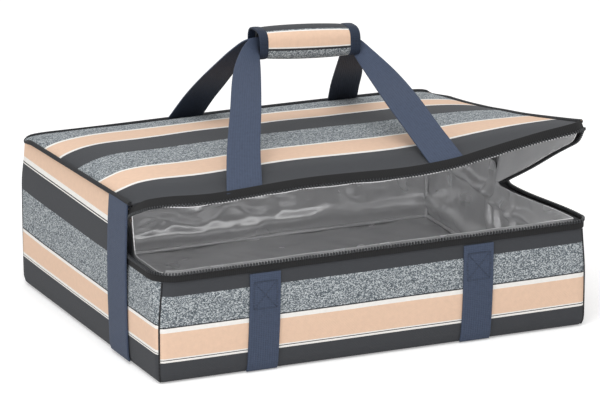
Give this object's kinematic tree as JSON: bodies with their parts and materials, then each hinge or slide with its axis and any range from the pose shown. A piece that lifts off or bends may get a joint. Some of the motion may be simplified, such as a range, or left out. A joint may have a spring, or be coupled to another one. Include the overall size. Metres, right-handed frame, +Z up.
{
  "type": "insulated food carrier bag",
  "caption": "Soft oblong insulated carrier bag with a zipped padded lid, foil lining, striped cloth, webbing straps and a padded grip handle.",
  "frame": {"origin": "middle of the flat underside", "axes": "+Z up, +X to the right along the front, -Y towards the front"},
  "size_m": [0.4515, 0.3543, 0.2783],
  "materials": {
    "striped_cloth": "woven stripes of grey melange, peach, cream and charcoal",
    "charcoal_cloth": "plain charcoal weave",
    "foam": "closed-cell insulating foam sheet",
    "foil_lining": "wrinkled silver foil laminate",
    "stiffener_board": "plain board",
    "navy_webbing": "navy woven webbing",
    "zip_tape": "black woven tape",
    "zip_coil": "black nylon coil",
    "zip_metal": "gunmetal coated zinc",
    "piping": "charcoal cloth piping"
  },
  "bodies": {
    "tub": {"base_outer": "charcoal_cloth", "base_board": "stiffener_board", "base_foam": "foam", "base_lining": "foil_lining", "front_outer": "striped_cloth", "front_foam": "foam", "front_lining": "foil_lining", "back_outer": "striped_cloth", "back_foam": "foam", "back_lining": "foil_lining", "left_outer": "striped_cloth", "left_foam": "foam", "left_lining": "foil_lining", "right_outer": "striped_cloth", "right_foam": "foam", "right_lining": "foil_lining", "floor_binding": "foil_lining", "corner_binding_front_left": "foil_lining", "corner_binding_front_right": "foil_lining", "corner_binding_back_left": "foil_lining", "corner_binding_back_right": "foil_lining", "lower_zip_tape": "zip_tape", "lower_zip_coil": "zip_coil", "zip_stop_left": "zip_metal", "zip_stop_rear": "zip_metal", "front_strap_left": "navy_webbing", "front_strap_right": "navy_webbing", "back_strap_left": "navy_webbing", "back_strap_right": "navy_webbing", "left_strap": "navy_webbing", "left_strap_upper": "navy_webbing", "left_gusset": "striped_cloth"},
    "lid": {"upper_zip_tape": "zip_tape", "upper_zip_coil": "zip_coil", "right_skirt_outer": "striped_cloth", "right_skirt_lining": "foil_lining", "lid_lining": "foil_lining", "lid_foam": "foam", "lid_outer": "striped_cloth", "lid_piping": "piping", "handle_arm_front_left": "navy_webbing", "handle_arm_front_right": "navy_webbing", "handle_arm_back_left": "navy_webbing", "handle_arm_back_right": "navy_webbing"},
    "handle_grip": {"grip_wrap": "striped_cloth", "grip_core": "navy_webbing", "grip_binding_left": "navy_webbing", "grip_binding_right": "navy_webbing"},
    "slider": {"zip_slider": "zip_metal"},
    "puller": {"zip_puller": "zip_metal"}
  },
  "joints": [
    {"name": "lid_hinge", "type": "hinge", "parent": "tub", "child": "lid", "pos_m": [0, 0.172, 0.1359], "axis": [-1, 0, 0], "range_deg": [-9, 25], "deforming": ["left_gusset", "left_strap_upper"]},
    {"name": "handle_drop", "type": "slide", "parent": "lid", "child": "handle_grip", "axis": [0, 0.0851, 0.9964], "range_m": [-0.066, 0], "deforming": ["handle_arm_front_left", "handle_arm_front_right", "handle_arm_back_left", "handle_arm_back_right"]},
    {"name": "zip_slide", "type": "slide", "parent": "tub", "child": "slider", "axis": [0, -1, 0], "range_m": [-0.0957, 0.1043]},
    {"name": "puller_swing", "type": "hinge", "parent": "slider", "child": "puller", "pos_m": [0.2256, 0.019, 0.107], "axis": [0, 0, -1], "range_deg": [0, 170]}
  ]
}
